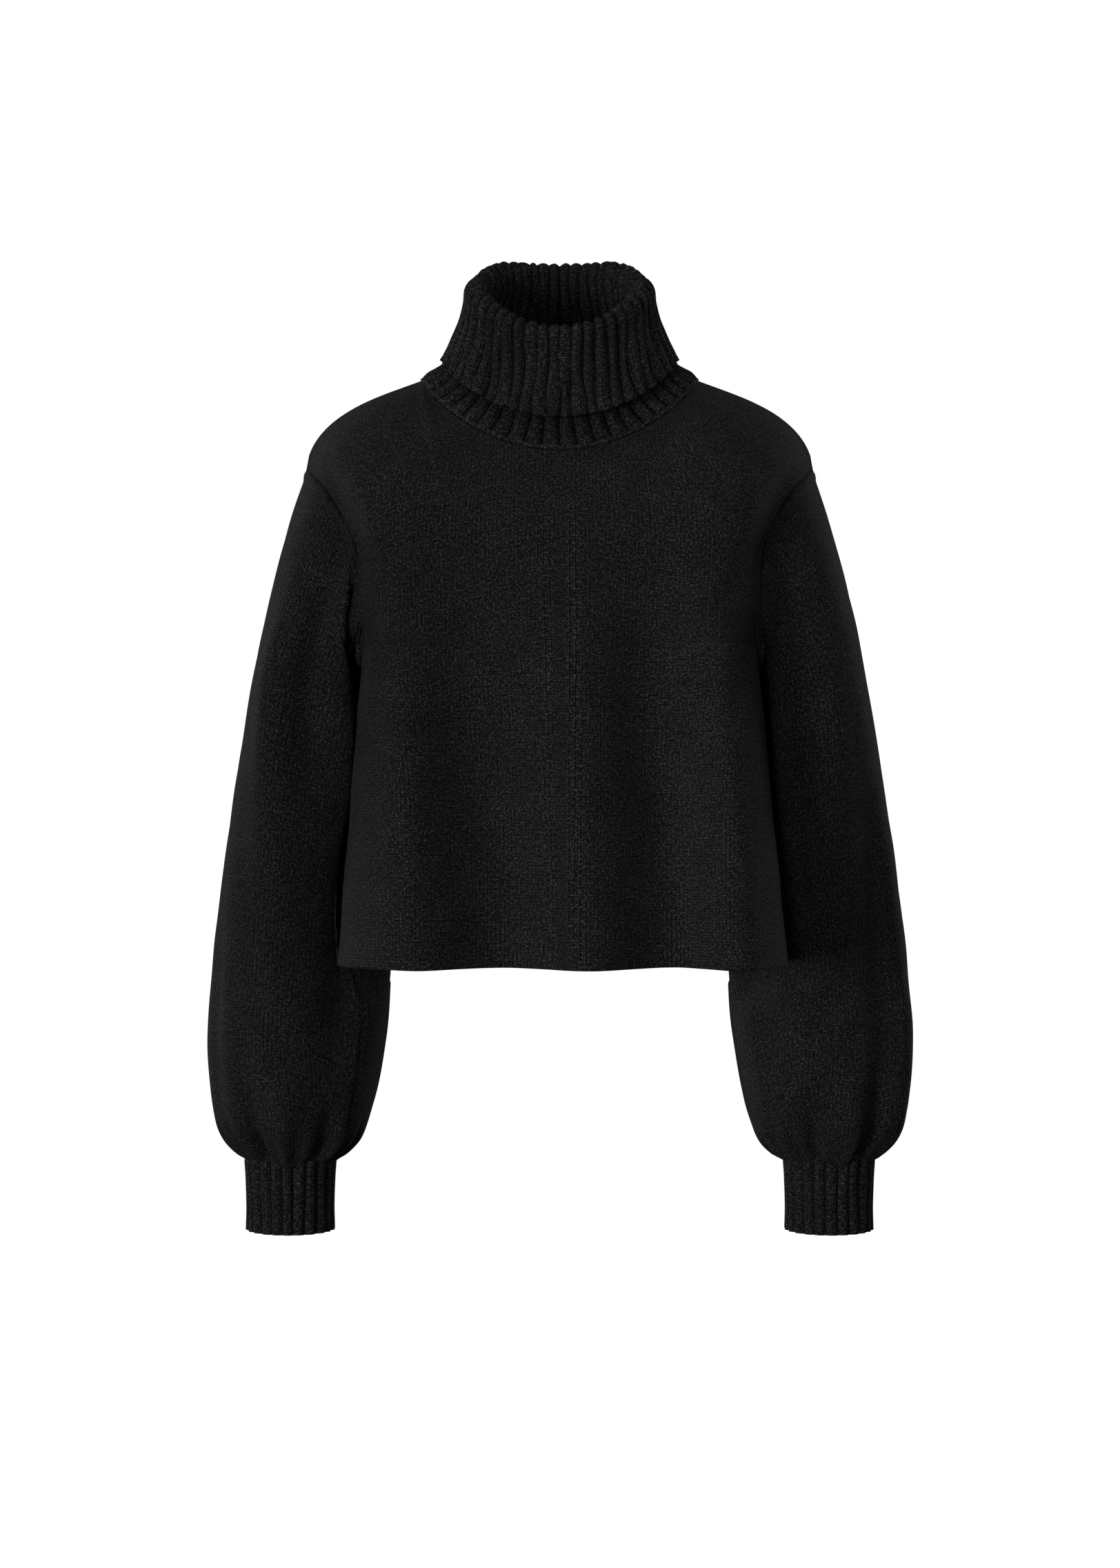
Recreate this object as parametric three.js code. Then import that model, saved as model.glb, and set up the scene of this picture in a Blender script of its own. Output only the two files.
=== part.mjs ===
// Turtleneck sweater, filled out as worn and hollow, in millimetres.
// x runs across with the wearer's left on +x, y runs from front (-) to back (+), and z is up.
// The origin is the middle of the neck, level with the points where the shoulders meet the collar.
import * as THREE from 'three';

// Driving dimensions
const bodyCloth = 3;
const sleeveCloth = 3;
const ribCloth = 3.6;
const seamGap = 0.34;
const hemHeight = -465;
const underarmHeight = -215;
const chestHeight = -140;
const shoulderHalf = 202;
const shoulderDrop = 73;
const shoulderSlope = 35;
const neckHalf = 112;
const sleeveHem = -634;
const cuffLength = 54;
const frontSquareness = 4;
const backSquareness = 3;
const sleeveSquareness = 2.15;
const sleeveClearance = 3;
const chestTurn = 64; // degrees each side that a panel reaches round the chest
const edgeCrowding = 6; // power that keeps the underarm curve to a panel's edge
const shoulderBunching = 0.8; // shoulder columns stand closer together near the sleeve
const shoulderTip = { y: -2, rise: 2 };
const capLines = { out: 8, outMore: 12, leastOut: -0.25, leave: 0.3, arrive: 0.34 };
const freeAtUnderarm = { from: -15, to: 45 };
const freeBelowHem = { from: 8, to: 48 }; // the sleeve lets go of the body over this stretch
const scoopEasing = 0.6; // how soon the yoke's lines turn towards the centre
const leastSlant = 0.6; // limit on how far a mitre reaches at a sharp seam

// Mesh density
const neckColumns = 12;
const shoulderColumns = 5;
const bodyRows = 7;
const underarmRows = 4;
const yokeRows = 8;
const capRows = 5;
const ribSamples = 3;
const collarRibs = 48;
const cuffRibs = 22;

const panelColumns = neckColumns + 2 * shoulderColumns;
const armholeRows = underarmRows + yokeRows;
const panelRows = bodyRows + armholeRows;
const sleeveColumns = 2 * armholeRows;
const collarColumns = collarRibs * ribSamples;

// Body tube by height: lean is the sideways shift of the whole section
const bodyLevels = [
  { z: hemHeight, halfWidth: 177, front: -135, back: 95, side: -20, lean: 2.6 },
  { z: -414, halfWidth: 172.6, front: -132, back: 94, side: -18, lean: 2 },
  { z: -350, halfWidth: 167, front: -128, back: 92, side: -15, lean: 1.3 },
  { z: -280, halfWidth: 161, front: -126, back: 94, side: -11, lean: 0.8 },
  { z: underarmHeight, halfWidth: 156.5, front: -125, back: 98, side: -6, lean: 0.5 },
  { z: chestHeight, halfWidth: 167, front: -122, back: 102, side: -4, lean: 0 },
];

// Largest upright folds of the body: x at the top and at the hem, half width, depth, height of the start
const frontFolds = [
  { top: -136, foot: -115, reach: 34, depth: 14, start: -60 },
  { top: -92, foot: -48, reach: 36, depth: -12, start: -60 },
  { top: 10, foot: 20, reach: 33, depth: 12, start: -70 },
  { top: 68, foot: 82, reach: 31, depth: -13, start: -80 },
  { top: 124, foot: 136, reach: 30, depth: 16, start: -50 },
];
const backFolds = [
  { top: -104, foot: -112, reach: 28, depth: 6, start: -80 },
  { top: -50, foot: -58, reach: 36, depth: -8, start: -110 },
  { top: 12, foot: 14, reach: 36, depth: 7, start: -70 },
  { top: 72, foot: 80, reach: 32, depth: -7, start: -120 },
];
const foldsFull = -340; // height where the folds reach their full depth

// How a panel's upright lines leave the chest and arrive at the top edge, by place across the panel
const yokeLines = [
  { place: 'armhole', riseOut: 5, riseForward: 14, rise: 22, fallIn: 8, fallForward: 38, fall: 3 },
  { place: 'shoulder', riseOut: 4, riseForward: 7, rise: 34, fallIn: 1, fallForward: 50, fall: 7 },
  { place: 'neck', riseOut: 1, riseForward: 6, rise: 40, fallIn: 0, fallForward: 58, fall: 13 },
  { place: 'centre', riseOut: 0, riseForward: -3, rise: 28, fallIn: 0, fallForward: 12, fall: 26 },
];

// Sleeve tube by height, for one side: outer and inner are distances from the middle of the body
const sleeveLevels = [
  { z: -250, outer: 248, inner: 152, front: -43, back: 82 },
  { z: -303, outer: 258, inner: 147, front: -31, back: 94 },
  { z: -350, outer: 266, inner: 142, front: -18, back: 106 },
  { z: -393, outer: 273.5, inner: 139, front: -4, back: 118 },
  { z: -440, outer: 281, inner: 137.5, front: 13, back: 132 },
  { z: -473, outer: 285, inner: 138, front: 25, back: 140 },
  { z: -530, outer: 289.6, inner: 144, front: 32, back: 146 },
  { z: -575, outer: 287.2, inner: 152, front: 37, back: 145 },
  { z: -603, outer: 282, inner: 160, front: 43, back: 141 },
  { z: -619, outer: 272.5, inner: 167.5, front: 52, back: 132 },
  { z: -629, outer: 260, inner: 180.5, front: 58, back: 126 },
  { z: sleeveHem, outer: 255.5, inner: 185.8, front: 61.5, back: 122.5 },
];

// Largest sleeve folds: angle from the outer edge towards the front, half angle, depth, and the span in z
const sleeveFolds = [
  { side: -1, angle: 62, reach: 20, depth: 6, top: -110, bottom: -420 },
  { side: -1, angle: 22, reach: 16, depth: 5, top: -280, bottom: -600 },
  { side: -1, angle: 96, reach: 22, depth: -7, top: -330, bottom: -560 },
  { side: -1, angle: 215, reach: 26, depth: -6, top: -260, bottom: -580 },
  { side: -1, angle: 285, reach: 24, depth: 5, top: -180, bottom: -540 },
  { side: 1, angle: 84, reach: 20, depth: 6, top: -260, bottom: -520 },
  { side: 1, angle: 44, reach: 18, depth: -6, top: -330, bottom: -600 },
  { side: 1, angle: 116, reach: 18, depth: 5, top: -470, bottom: -620 },
  { side: 1, angle: 222, reach: 26, depth: -6, top: -240, bottom: -560 },
  { side: 1, angle: 290, reach: 24, depth: 5, top: -200, bottom: -560 },
];
const gatherWaves = 8;
const gatherDepth = 2.4;
const gatherLength = 48;
const gatherStart = 6;

// Middle of the collar's cloth as tilted rings, from the neck seam up, over the fold and down
const collarRings = [
  { part: 'base', halfWidth: neckHalf, front: -92, back: 72, frontZ: -65, sideZ: 2, backZ: 14 },
  { part: 'flare', halfWidth: 85, front: -84.5, back: 68, frontZ: -42, sideZ: 13, backZ: 29 },
  { part: 'stand', halfWidth: 68.5, front: -73, back: 60, frontZ: -12, sideZ: 38, backZ: 56 },
  { part: 'throat', halfWidth: 60.5, front: -61, back: 57, frontZ: 22, sideZ: 72, backZ: 87 },
  { part: 'fold', halfWidth: 67, front: -67.5, back: 64.5, frontZ: 31, sideZ: 81, backZ: 95 },
  { part: 'turn', halfWidth: 72.4, front: -74, back: 71, frontZ: 22, sideZ: 72, backZ: 87 },
  { part: 'drape', halfWidth: 77.8, front: -86, back: 76, frontZ: -7, sideZ: 44, backZ: 60 },
  { part: 'edge', halfWidth: 91.6, front: -101.5, back: 85, frontZ: -37.5, sideZ: 12, backZ: 30 },
];
const neckBow = 1.65;
const collarBow = 1.45;
const turnoverRib = 2.2;
const neckbandRib = 1.6;

// Cuff tube, for one side
const cuffLevels = [
  { drop: 0, halfWidth: 35, halfDepth: 31.6 },
  { drop: 0.3, halfWidth: 34.6, halfDepth: 31 },
  { drop: 0.7, halfWidth: 33.8, halfDepth: 30.4 },
  { drop: 1, halfWidth: 34.2, halfDepth: 31 },
];
const cuffCentre = { x: 221.2, y: 92 };
const cuffTilt = 2;
const cuffRib = 1.6;

const knit = { color: 0x19191a, roughness: 0.95, metalness: 0 };
const rib = { color: 0x161617, roughness: 0.96, metalness: 0 };

const vec = (x, y, z) => new THREE.Vector3(x, y, z);
const mix = THREE.MathUtils.lerp;
const ease = THREE.MathUtils.smoothstep;
const signedPower = (value, power) => Math.sign(value) * Math.abs(value) ** power;
const steps = (count) => Array.from({ length: count + 1 }, (_, i) => i / count);
const nearestTurn = (degrees) => THREE.MathUtils.euclideanModulo(degrees + 180, 360) - 180;

// Reads every number of a table at one value of its key column, with a smooth curve through the rows
function readTable(rows, key, value) {
  const rising = rows[0][key] < rows.at(-1)[key];
  const ordered = rising ? rows : [...rows].reverse();
  const last = ordered.length - 1;
  const at = THREE.MathUtils.clamp(value, ordered[0][key], ordered[last][key]);
  const i = Math.min(ordered.findLastIndex((row) => row[key] <= at), last - 1);
  const span = ordered[i + 1][key] - ordered[i][key];
  const t = (at - ordered[i][key]) / span;
  const slope = (name, k) => {
    const before = ordered[Math.max(k - 1, 0)];
    const after = ordered[Math.min(k + 1, last)];
    return (after[name] - before[name]) / (after[key] - before[key]);
  };
  const result = {};
  for (const name of Object.keys(ordered[0])) {
    const start = ordered[i][name];
    const rise = ordered[i + 1][name] - start;
    if (name === key) result[name] = at;
    else {
      const a = slope(name, i) * span;
      const b = slope(name, i + 1) * span;
      result[name] = start + a * t + (3 * rise - 2 * a - b) * t * t + (a + b - 2 * rise) * t ** 3;
    }
  }
  return result;
}

const squarenessOf = (facing) => (facing < 0 ? frontSquareness : backSquareness);

// Depth of a set of upright folds at a place across the body
function foldDepth(folds, x, z) {
  let depth = 0;
  for (const fold of folds) {
    const place = mix(fold.top, fold.foot, ease(fold.start - z, 0, fold.start - hemHeight));
    const growth = ease(fold.start - z, 0, fold.start - foldsFull);
    const offset = (x - place) / fold.reach;
    depth += fold.depth * growth * Math.exp(-offset * offset);
  }
  return depth;
}

// Point on the body tube: angle is -90 to 90 degrees across a panel, facing is -1 in front and 1 behind
function bodyPoint(z, angle, facing) {
  const level = readTable(bodyLevels, 'z', z);
  const power = 2 / squarenessOf(facing);
  const across = Math.sin(angle);
  const deep = Math.max(Math.cos(angle), 0) ** power;
  const reach = facing < 0 ? level.front - level.side : level.back - level.side;
  const x = level.halfWidth * signedPower(across, power);
  const fold = foldDepth(facing < 0 ? frontFolds : backFolds, x, z) * ease(deep, 0, 0.45);
  return vec(x + level.lean, level.side + reach * deep + facing * fold, z);
}

// Half width of the body tube at a depth y, or 0 outside it
function bodyReach(z, y) {
  const level = readTable(bodyLevels, 'z', Math.min(z, underarmHeight));
  const half = y < level.side ? level.side - level.front : level.back - level.side;
  const squareness = squarenessOf(y - level.side);
  const share = Math.min(Math.abs(y - level.side) / half, 1);
  return level.halfWidth * (1 - share ** squareness) ** (1 / squareness);
}

// Point on a tilted ring: turn is 0 at the wearer's right, a quarter at the front, a half at the left
function tiltedRing(ring, turn, bow) {
  const angle = Math.PI * (1 + 2 * turn);
  const depth = Math.sin(angle);
  const facing = Math.abs(depth);
  const end = depth < 0 ? ring.front : ring.back;
  const endZ = depth < 0 ? ring.frontZ : ring.backZ;
  const middle = (ring.front + ring.back) / 2 + 2;
  return vec(
    ring.halfWidth * Math.cos(angle),
    mix(middle, end, facing),
    mix(ring.sideZ, endZ, facing ** bow),
  );
}

// Point on a shoulder seam: straight from the neck, then rounded over towards the sleeve
function shoulderPoint(share, side) {
  const rounding = 1 - Math.sqrt(1 - share ** 4);
  const drop = shoulderSlope * share + (shoulderDrop - shoulderSlope) * rounding;
  const neck = tiltedRing(collarRings[0], 0, neckBow);
  const x = side * mix(neckHalf, shoulderHalf, share);
  return vec(x, mix(neck.y, shoulderTip.y, share), neck.z + shoulderTip.rise * share - drop);
}

// Top edge of a panel: shoulder, neck scoop, shoulder
function topPoint(column, facing) {
  const neckStart = shoulderColumns;
  const neckEnd = shoulderColumns + neckColumns;
  const bunched = (share) => share ** shoulderBunching;
  if (column < neckStart) return shoulderPoint(bunched((neckStart - column) / neckStart), -1);
  if (column > neckEnd) return shoulderPoint(bunched((column - neckEnd) / neckStart), 1);
  const half = (column - neckStart) / neckColumns / 2;
  return tiltedRing(collarRings[0], facing < 0 ? half : 1 - half, neckBow);
}

// The yoke's line values at a column, straight between the stops
function yokeLine(column) {
  const fromEdge = Math.min(column, panelColumns - column);
  const stops = [0, shoulderColumns / 2, shoulderColumns, panelColumns / 2];
  const i = Math.min(stops.findLastIndex((stop) => stop <= fromEdge), stops.length - 2);
  const share = (fromEdge - stops[i]) / (stops[i + 1] - stops[i]);
  const t = i === 2 ? share ** scoopEasing : share;
  const line = {};
  for (const name of ['riseOut', 'riseForward', 'rise', 'fallIn', 'fallForward', 'fall']) {
    line[name] = mix(yokeLines[i][name], yokeLines[i + 1][name], t);
  }
  return line;
}

// Front or back panel as a grid of outer points, from the hem up
function panelGrid(facing) {
  const halfTurn = Math.PI / 2;
  const chestReach = THREE.MathUtils.degToRad(chestTurn);
  const rows = [];
  const angleAt = (column, turn) => turn * (2 * column / panelColumns - 1);
  const columns = steps(panelColumns).map((_, i) => i);
  for (const share of steps(bodyRows).slice(0, -1)) {
    const z = mix(hemHeight, underarmHeight, share);
    rows.push(columns.map((column) => bodyPoint(z, angleAt(column, halfTurn), facing)));
  }
  for (const share of steps(underarmRows)) {
    rows.push(columns.map((column) => {
      const edge = Math.abs(2 * column / panelColumns - 1) ** edgeCrowding;
      const z = mix(share, 1 - Math.cos(share * halfTurn), edge);
      const turn = mix(share, Math.sin(share * halfTurn), edge);
      const height = mix(underarmHeight, chestHeight, z);
      return bodyPoint(height, angleAt(column, mix(halfTurn, chestReach, turn)), facing);
    }));
  }
  const chest = rows.at(-1);
  for (const share of steps(yokeRows).slice(1)) {
    rows.push(columns.map((column) => {
      const side = Math.sign(column - panelColumns / 2);
      const top = topPoint(column, facing);
      const line = yokeLine(column);
      const start = chest[column];
      const rising = vec(side * line.riseOut, facing * line.riseForward, line.rise).add(start);
      const falling = vec(-side * line.fallIn, facing * line.fallForward, -line.fall).add(top);
      return new THREE.CubicBezierCurve3(start, rising, falling, top).getPoint(share);
    }));
  }
  return rows;
}

// Keeps a sleeve point just outside the body tube, and lets go below the hem
function clearOfBody(point, side, clearance) {
  const reach = bodyReach(Math.max(point.z, hemHeight), point.y);
  const lean = readTable(bodyLevels, 'z', Math.max(point.z, hemHeight)).lean * side;
  const below = ease(hemHeight - point.z, freeBelowHem.from, freeBelowHem.to);
  const above = ease(point.z - underarmHeight, freeAtUnderarm.from, freeAtUnderarm.to);
  const free = Math.max(below, above);
  const least = reach + lean + clearance;
  const away = side * point.x;
  if (away < least) point.x = side * mix(least, away, free);
  return point;
}

// Point on a sleeve's lower tube: angle 0 is the outer edge, a quarter turn is the front
function sleevePoint(z, angle, side) {
  const level = readTable(sleeveLevels, 'z', z);
  const power = 2 / sleeveSquareness;
  const halfWidth = (level.outer - level.inner) / 2;
  const halfDepth = (level.back - level.front) / 2;
  let swell = gatherDepth * Math.cos(gatherWaves * angle) * ease(z, sleeveHem + gatherLength, sleeveHem);
  swell *= ease(z - sleeveHem, 0, gatherStart);
  for (const fold of sleeveFolds.filter((row) => row.side === side)) {
    const turn = nearestTurn(THREE.MathUtils.radToDeg(angle) - fold.angle);
    const along = (z - fold.bottom) / (fold.top - fold.bottom);
    const fade = along > 0 && along < 1 ? Math.sin(Math.PI * along) : 0;
    swell += fold.depth * fade * Math.exp(-((turn / fold.reach) ** 2));
  }
  const x = (level.outer + level.inner) / 2 + (halfWidth + swell) * signedPower(Math.cos(angle), power);
  const y = (level.front + level.back) / 2 - (halfDepth + swell) * signedPower(Math.sin(angle), power);
  return clearOfBody(vec(side * x, y, z), side, sleeveClearance);
}

// Sleeve as a grid of outer points, from the armhole down; column 0 is at the shoulder, a quarter in front
function sleeveGrid(side, front, back) {
  const edge = side < 0 ? 0 : panelColumns;
  const rows = [];
  const columns = steps(sleeveColumns).slice(0, -1).map((_, i) => i);
  const armhole = columns.map((column) => {
    if (column <= armholeRows) return front[panelRows - column][edge];
    return back[bodyRows + column - armholeRows][edge];
  });
  rows.push(armhole);
  const angles = columns.map((column) => 2 * Math.PI * column / sleeveColumns);
  const capEnd = columns.map((column) => sleevePoint(sleeveLevels[0].z, angles[column], side));
  const below = columns.map((column) => sleevePoint(sleeveLevels[0].z - 4, angles[column], side));
  for (const share of steps(capRows).slice(1)) {
    rows.push(columns.map((column) => {
      const start = armhole[column];
      const end = capEnd[column];
      const length = start.distanceTo(end);
      const outward = Math.max(Math.cos(angles[column]), capLines.leastOut);
      const out = side * (capLines.out + capLines.outMore * outward);
      const leaving = vec(out, 0, -length * capLines.leave).add(start);
      const arriving = end.clone().sub(below[column]).setLength(length * capLines.arrive).add(end);
      const point = new THREE.CubicBezierCurve3(start, leaving, arriving, end).getPoint(share);
      return clearOfBody(point, side, mix(seamGap, sleeveClearance, share));
    }));
  }
  for (const level of sleeveLevels.slice(1)) {
    rows.push(columns.map((column) => sleevePoint(level.z, angles[column], side)));
  }
  return rows;
}

// Middle surface of the collar, with the base row on the straight stretches of the panels' neck edge
function collarGrid() {
  return collarRings.map((ring, row) => {
    const bow = row ? collarBow : neckBow;
    return steps(collarColumns).slice(0, -1).map((turn) => {
      if (row) return tiltedRing(ring, turn, bow);
      const stretch = turn * 2 * neckColumns;
      const from = tiltedRing(ring, Math.floor(stretch) / (2 * neckColumns), bow);
      const to = tiltedRing(ring, (Math.floor(stretch) + 1) / (2 * neckColumns), bow);
      return from.lerp(to, stretch % 1);
    });
  });
}

// Outward unit normals of a grid; closed grids run all the way round
function gridNormals(grid, closed, flip) {
  const lastRow = grid.length - 1;
  const count = grid[0].length;
  return grid.map((row, r) => row.map((_, c) => {
    const left = closed ? (c + count - 1) % count : Math.max(c - 1, 0);
    const right = closed ? (c + 1) % count : Math.min(c + 1, count - 1);
    const across = row[right].clone().sub(row[left]);
    const along = grid[Math.min(r + 1, lastRow)][c].clone().sub(grid[Math.max(r - 1, 0)][c]);
    return across.cross(along).normalize().multiplyScalar(flip);
  }));
}

// A piece holds its outer points and the vectors that lead through the cloth to its inner points
function makePiece(grid, closed, flip, thickness) {
  const normals = gridNormals(grid, closed, flip);
  const inward = normals.map((row) => row.map((normal) => normal.clone().multiplyScalar(-thickness)));
  return { grid: grid.map((row) => row.map((point) => point.clone())), normals, inward, closed, thickness };
}

// Mitres the pieces that meet at one seam point and parts them by the seam gap
function joinAt(members) {
  const middle = vec(0, 0, 0);
  members.forEach(({ piece, row, column }) => middle.sub(piece.normals[row][column]));
  middle.normalize();
  const pulls = members.map(({ piece, row, column, next }) => {
    const [nextRow, nextColumn] = next;
    return piece.grid[nextRow][nextColumn].clone().sub(piece.grid[row][column]).normalize();
  });
  const thickness = members[0].piece.thickness;
  const slants = members.map(({ piece, row, column }) => -middle.dot(piece.normals[row][column]));
  const slant = slants.reduce((sum, value) => sum + value, 0) / members.length;
  const mitre = middle.multiplyScalar(thickness / Math.max(slant, leastSlant));
  const shifts = pulls.map((pull, i) => {
    const shift = vec(0, 0, 0);
    pulls.forEach((other, j) => {
      if (i !== j) shift.add(pull.clone().sub(other).setLength(seamGap / 2));
    });
    return shift;
  });
  members.forEach(({ piece, row, column }, i) => {
    piece.grid[row][column].add(shifts[i]);
    piece.inward[row][column].copy(mitre);
  });
}

// Closed wall between outer and inner points
function wallGeometry(outer, inner, closed) {
  const rows = outer.length;
  const columns = outer[0].length;
  const positions = [];
  const indices = [];
  const points = [...outer.flat(), ...inner.flat()];
  for (const point of points) positions.push(point.x, point.y, point.z);
  const quad = (a, b, c, d) => {
    const direct = points[a].distanceToSquared(points[c]) <= points[b].distanceToSquared(points[d]);
    if (direct) indices.push(a, b, c, a, c, d);
    else indices.push(b, c, d, b, d, a);
  };
  const out = (r, c) => r * columns + (c % columns);
  const inn = (r, c) => rows * columns + out(r, c);
  const spans = closed ? columns : columns - 1;
  for (let r = 0; r < rows - 1; r += 1) {
    for (let c = 0; c < spans; c += 1) {
      quad(out(r, c), out(r, c + 1), out(r + 1, c + 1), out(r + 1, c));
      quad(inn(r, c), inn(r + 1, c), inn(r + 1, c + 1), inn(r, c + 1));
    }
    if (!closed) {
      quad(out(r, 0), out(r + 1, 0), inn(r + 1, 0), inn(r, 0));
      quad(out(r, spans), inn(r, spans), inn(r + 1, spans), out(r + 1, spans));
    }
  }
  for (let c = 0; c < spans; c += 1) {
    quad(out(0, c), inn(0, c), inn(0, c + 1), out(0, c + 1));
    quad(out(rows - 1, c), out(rows - 1, c + 1), inn(rows - 1, c + 1), inn(rows - 1, c));
  }
  const geometry = new THREE.BufferGeometry();
  geometry.setAttribute('position', new THREE.Float32BufferAttribute(positions, 3));
  geometry.setIndex(indices);
  return faceOut(geometry);
}

// Turns every face round when the closed body has its faces pointing in
function faceOut(geometry) {
  const position = geometry.attributes.position;
  const index = geometry.index.array;
  const corner = (i) => vec().fromBufferAttribute(position, index[i]);
  let volume = 0;
  for (let i = 0; i < index.length; i += 3) volume += corner(i).dot(corner(i + 1).cross(corner(i + 2)));
  if (volume < 0) {
    for (let i = 0; i < index.length; i += 3) [index[i], index[i + 1]] = [index[i + 1], index[i]];
  }
  geometry.computeVertexNormals();
  return geometry;
}

// Adds one named wall to the group
function addPiece(group, name, piece, finish) {
  const inner = piece.grid.map((row, r) => row.map((point, c) => point.clone().add(piece.inward[r][c])));
  const wall = wallGeometry(piece.grid, inner, piece.closed);
  const mesh = new THREE.Mesh(wall, new THREE.MeshStandardMaterial(finish));
  mesh.name = name;
  group.add(mesh);
}

// Height of a rib at a column: two raised samples and one groove
const ribHeight = (column) => (column % ribSamples === 0 ? 0 : 1);

// Joins the side seams, armholes and shoulders of the two panels and the sleeves
function joinBody(front, back, sleeves) {
  for (const edge of [0, panelColumns]) {
    const inside = edge ? edge - 1 : 1;
    for (let row = 0; row < bodyRows; row += 1) {
      joinAt([front, back].map((piece) => ({ piece, row, column: edge, next: [row, inside] })));
    }
    const sleeve = sleeves[edge ? 1 : 0];
    for (let step = 0; step <= armholeRows; step += 1) {
      const row = panelRows - step;
      const atShoulder = step === 0;
      const atUnderarm = step === armholeRows;
      const nextRow = atShoulder ? row - 1 : row;
      const member = (piece) => ({ piece, row, column: edge, next: [nextRow, inside] });
      const sleeveMember = (column) => ({ piece: sleeve, row: 0, column, next: [1, column] });
      if (atShoulder) joinAt([member(front), member(back), sleeveMember(0)]);
      else if (atUnderarm) joinAt([member(front), member(back), sleeveMember(armholeRows)]);
      else {
        joinAt([member(front), sleeveMember(step)]);
        joinAt([member(back), sleeveMember(sleeveColumns - step)]);
      }
    }
    for (let step = 1; step < shoulderColumns; step += 1) {
      const column = edge ? edge - step : step;
      const next = [panelRows - 1, column];
      joinAt([front, back].map((piece) => ({ piece, row: panelRows, column, next })));
    }
  }
}

// Joins the collar's base to the neck edges, and lays its columns between the joined points
function joinCollar(collar, front, back) {
  const perStretch = collarColumns / (2 * neckColumns);
  const member = (piece, column) => {
    return { piece, row: panelRows, column, next: [panelRows - 1, column] };
  };
  for (let stretch = 0; stretch < 2 * neckColumns; stretch += 1) {
    const base = stretch * perStretch;
    const ofCollar = { piece: collar, row: 0, column: base, next: [1, base] };
    const inFront = stretch <= neckColumns;
    const column = shoulderColumns + (inFront ? stretch : 2 * neckColumns - stretch);
    const both = stretch === 0 || stretch === neckColumns;
    const panels = both ? [front, back] : [inFront ? front : back];
    joinAt([ofCollar, ...panels.map((piece) => member(piece, column))]);
  }
  for (let column = 0; column < collarColumns; column += 1) {
    const start = column - (column % perStretch);
    const end = (start + perStretch) % collarColumns;
    const share = (column % perStretch) / perStretch;
    collar.grid[0][column].lerpVectors(collar.grid[0][start], collar.grid[0][end], share);
    collar.inward[0][column].lerpVectors(collar.inward[0][start], collar.inward[0][end], share);
  }
}

// Ribs stand out on the neckband's outside and, past the fold, on the face that was inside
function ribCollar(collar) {
  const foldRow = collarRings.findIndex((ring) => ring.part === 'fold');
  collar.grid.forEach((row, r) => row.forEach((point, c) => {
    const normal = collar.normals[r][c];
    const inner = point.clone().add(collar.inward[r][c]);
    if (r === 1) point.addScaledVector(normal, neckbandRib * ribHeight(c));
    if (r >= foldRow - 1) {
      const share = r === foldRow - 1 ? 0.5 : 1;
      inner.addScaledVector(normal, -turnoverRib * share * ribHeight(c));
    }
    collar.inward[r][c] = inner.sub(point);
  }));
}

// Ribbed tube that hangs from the sleeve's gathered end
function cuffPiece(side) {
  const columns = steps(cuffRibs * ribSamples).slice(0, -1);
  const centre = vec(side * cuffCentre.x, cuffCentre.y, sleeveHem - seamGap);
  const ring = (level, shrink) => columns.map((turn, c) => {
    const angle = 2 * Math.PI * turn;
    const raised = shrink ? 0 : cuffRib * ribHeight(c);
    const x = (level.halfWidth - shrink - cuffRib + raised) * Math.cos(angle);
    const y = (level.halfDepth - shrink - cuffRib + raised) * Math.sin(angle);
    const drop = level.drop * (cuffLength - cuffTilt * y / level.halfDepth);
    return vec(x, y, -drop).add(centre);
  });
  const outer = cuffLevels.map((level) => ring(level, 0));
  const inner = cuffLevels.map((level) => ring(level, ribCloth));
  const inward = outer.map((row, r) => row.map((point, c) => inner[r][c].clone().sub(point)));
  return { grid: outer, inward, closed: true };
}

// Lays out every piece, joins the seams and raises the ribs
function makeSweater() {
  const group = new THREE.Group();
  const front = makePiece(panelGrid(-1), false, 1, bodyCloth);
  const back = makePiece(panelGrid(1), false, -1, bodyCloth);
  const sleeves = [-1, 1].map((side) => {
    return makePiece(sleeveGrid(side, front.grid, back.grid), true, side, sleeveCloth);
  });
  const collar = makePiece(collarGrid(), true, 1, ribCloth);
  joinBody(front, back, sleeves);
  joinCollar(collar, front, back);
  ribCollar(collar);
  for (const sleeve of sleeves) sleeve.inward.at(-1).forEach((vector) => vector.setZ(0));
  addPiece(group, 'front', front, knit);
  addPiece(group, 'back', back, knit);
  addPiece(group, 'sleeve_right', sleeves[0], knit);
  addPiece(group, 'sleeve_left', sleeves[1], knit);
  addPiece(group, 'cuff_right', cuffPiece(-1), rib);
  addPiece(group, 'cuff_left', cuffPiece(1), rib);
  addPiece(group, 'collar', collar, rib);
  return group;
}

export default makeSweater();
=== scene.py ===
import bpy
import bmesh
from math import cos, exp, hypot, pi, radians, sin, sqrt
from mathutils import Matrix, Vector, noise


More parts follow.
